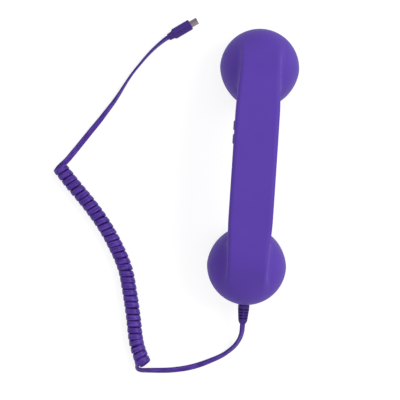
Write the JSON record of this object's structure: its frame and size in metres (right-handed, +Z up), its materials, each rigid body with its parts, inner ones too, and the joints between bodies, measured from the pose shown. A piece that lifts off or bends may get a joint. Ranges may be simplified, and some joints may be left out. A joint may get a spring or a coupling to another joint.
{
  "type": "telephone handset",
  "caption": "Retro telephone handset with a curly cord and a data plug, lying on its ear and mouth caps; two sprung keys on one side of the handle.",
  "frame": {"origin": "on the resting surface, below the middle of the handset without its cord", "axes": "+Y along the handle to the ear end, +Z up out of the handle's back, the side keys face -X"},
  "size_m": [0.1772, 0.2681, 0.07],
  "materials": {
    "soft_touch_plastic": "soft-touch matte purple",
    "key_plastic": "matte dark purple",
    "cord_jacket": "satin purple elastomer",
    "steel": "zinc plated",
    "plug_nickel": "nickel plated, stamped",
    "board": "green solder mask",
    "black_plastic": "moulded black",
    "white_plastic": "moulded off-white",
    "foam": "closed-cell foam",
    "film": "clear formed film",
    "magnet": "dark plated magnet",
    "black_rubber": "soft black rubber",
    "wire_jacket": "grey wire jacket"
  },
  "bodies": {
    "handset": {"rear_shell": "soft_touch_plastic", "front_shell": "soft_touch_plastic", "ear_cap": "soft_touch_plastic", "mouth_cap": "soft_touch_plastic", "up_switch_frame": "steel", "down_switch_frame": "steel", "circuit_board": "board", "controller_chip": "black_plastic", "wire_connector": "white_plastic", "board_screw_ear": "steel", "board_screw_mouth": "steel", "cover_screw_ear": "steel", "cover_screw_mouth": "steel", "ballast_bar": "steel", "ear_gasket": "foam", "speaker_frame": "steel", "speaker_diaphragm": "film", "speaker_magnet": "magnet", "mic_boot": "black_rubber", "mic_capsule": "steel", "speaker_wire": "wire_jacket", "mic_wire": "wire_jacket", "cord_core": "cord_jacket", "strain_relief": "cord_jacket", "cord_lead_handset": "cord_jacket", "cord_coil": "cord_jacket", "cord_lead_plug": "cord_jacket", "plug_body": "cord_jacket", "plug_shell": "plug_nickel", "plug_tongue": "black_plastic"},
    "volume_up": {"volume_up_key": "key_plastic", "up_switch_plunger": "black_plastic"},
    "volume_down": {"volume_down_key": "key_plastic", "down_switch_plunger": "black_plastic"}
  },
  "joints": [
    {"name": "volume_up_press", "type": "slide", "parent": "handset", "child": "volume_up", "axis": [1, 0, 0], "range_m": [0, 0.0005], "stiffness_N_per_m": 600},
    {"name": "volume_down_press", "type": "slide", "parent": "handset", "child": "volume_down", "axis": [1, 0, 0], "range_m": [0, 0.0005], "stiffness_N_per_m": 600}
  ]
}
